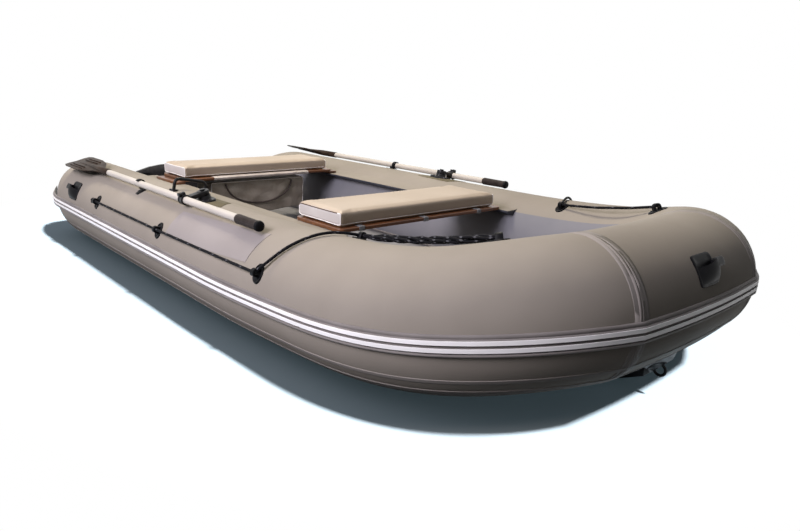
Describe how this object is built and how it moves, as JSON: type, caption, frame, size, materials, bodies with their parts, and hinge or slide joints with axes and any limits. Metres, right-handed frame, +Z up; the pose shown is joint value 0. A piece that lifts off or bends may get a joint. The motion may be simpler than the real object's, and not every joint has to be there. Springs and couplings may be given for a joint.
{
  "type": "inflatable motor boat",
  "caption": "Open inflatable boat: side tubes joined by a rising bow tube, wooden transom, inflated floor, padded benches and oars that swing on their oarlocks.",
  "frame": {"origin": "middle of the boat's length and width, on the ground that the tubes stand on", "axes": "+X to the bow, +Y to port, +Z up"},
  "size_m": [3.4553, 1.769, 0.5335],
  "materials": {
    "tube_skin": "coated PVC fabric, semi-matt",
    "cone_plastic": "coated PVC fabric, semi-matt, as the tubes",
    "strake_rubber": "moulded, with two cream stripes on dark grey",
    "bottom_skin": "coated PVC fabric, dark",
    "floor_skin": "coated PVC fabric, blue-grey",
    "black_rubber": "moulded black rubber",
    "black_plastic": "moulded black nylon",
    "transom_wood": "black painted plywood",
    "seat_wood": "varnished plywood",
    "rail_fabric": "dark blue coated fabric",
    "cushion_vinyl": "tan vinyl with white piping",
    "bag_fabric": "grey coated fabric",
    "webbing": "woven polyester webbing",
    "shaft_paint": "ivory painted aluminium tube",
    "grip_rubber": "ribbed handle",
    "blade_plastic": "dark brown moulded blade",
    "rope": "black braided line with grey flecks",
    "steel": "stainless steel"
  },
  "bodies": {
    "hull": {"air_valves": "black_plastic", "bag_sleeve": "bag_fabric", "board_aft": "seat_wood", "board_front": "seat_wood", "bottom_skin": "bottom_skin", "bow_handle": "black_rubber", "bow_ring": "black_rubber", "cone_port": "cone_plastic", "cone_starboard": "cone_plastic", "cushion_aft": "cushion_vinyl", "cushion_front": "cushion_vinyl", "drain_valve": "black_plastic", "floor_deck": "floor_skin", "grab_bars": "black_rubber", "grab_line_port": "rope", "grab_line_starboard": "rope", "keel_strip": "black_rubber", "line_fittings_port": "black_rubber", "line_fittings_starboard": "black_rubber", "motor_pads": "black_plastic", "oar_clips": "black_rubber", "oarlock_bases": "black_plastic", "seat_bag": "bag_fabric", "seat_cleats": "seat_wood", "seat_rails": "rail_fabric", "seat_straps": "webbing", "spare_rope": "rope", "stern_eyes": "steel", "stern_handles": "black_rubber", "strake_bow": "strake_rubber", "strake_port": "strake_rubber", "strake_starboard": "strake_rubber", "top_line_port": "rope", "transom": "transom_wood", "transom_holders": "black_rubber", "tube_bow": "tube_skin", "tube_port": "tube_skin", "tube_starboard": "tube_skin"},
    "oar_starboard": {"oarlock_swivel_starboard": "black_plastic", "oar_shaft_starboard": "shaft_paint", "oar_grip_starboard": "grip_rubber", "oar_blade_starboard": "blade_plastic"},
    "oar_port": {"oarlock_swivel_port": "black_plastic", "oar_shaft_port": "shaft_paint", "oar_grip_port": "grip_rubber", "oar_blade_port": "blade_plastic"}
  },
  "joints": [
    {"name": "oar_swing_starboard", "type": "hinge", "parent": "hull", "child": "oar_starboard", "pos_m": [-0.05765, -0.675, 0.41935], "axis": [0, -0.2419, 0.9703], "range_deg": [0, 120]},
    {"name": "oar_swing_port", "type": "hinge", "parent": "hull", "child": "oar_port", "pos_m": [-0.05765, 0.675, 0.41935], "axis": [0, -0.2419, -0.9703], "range_deg": [0, 120]}
  ]
}
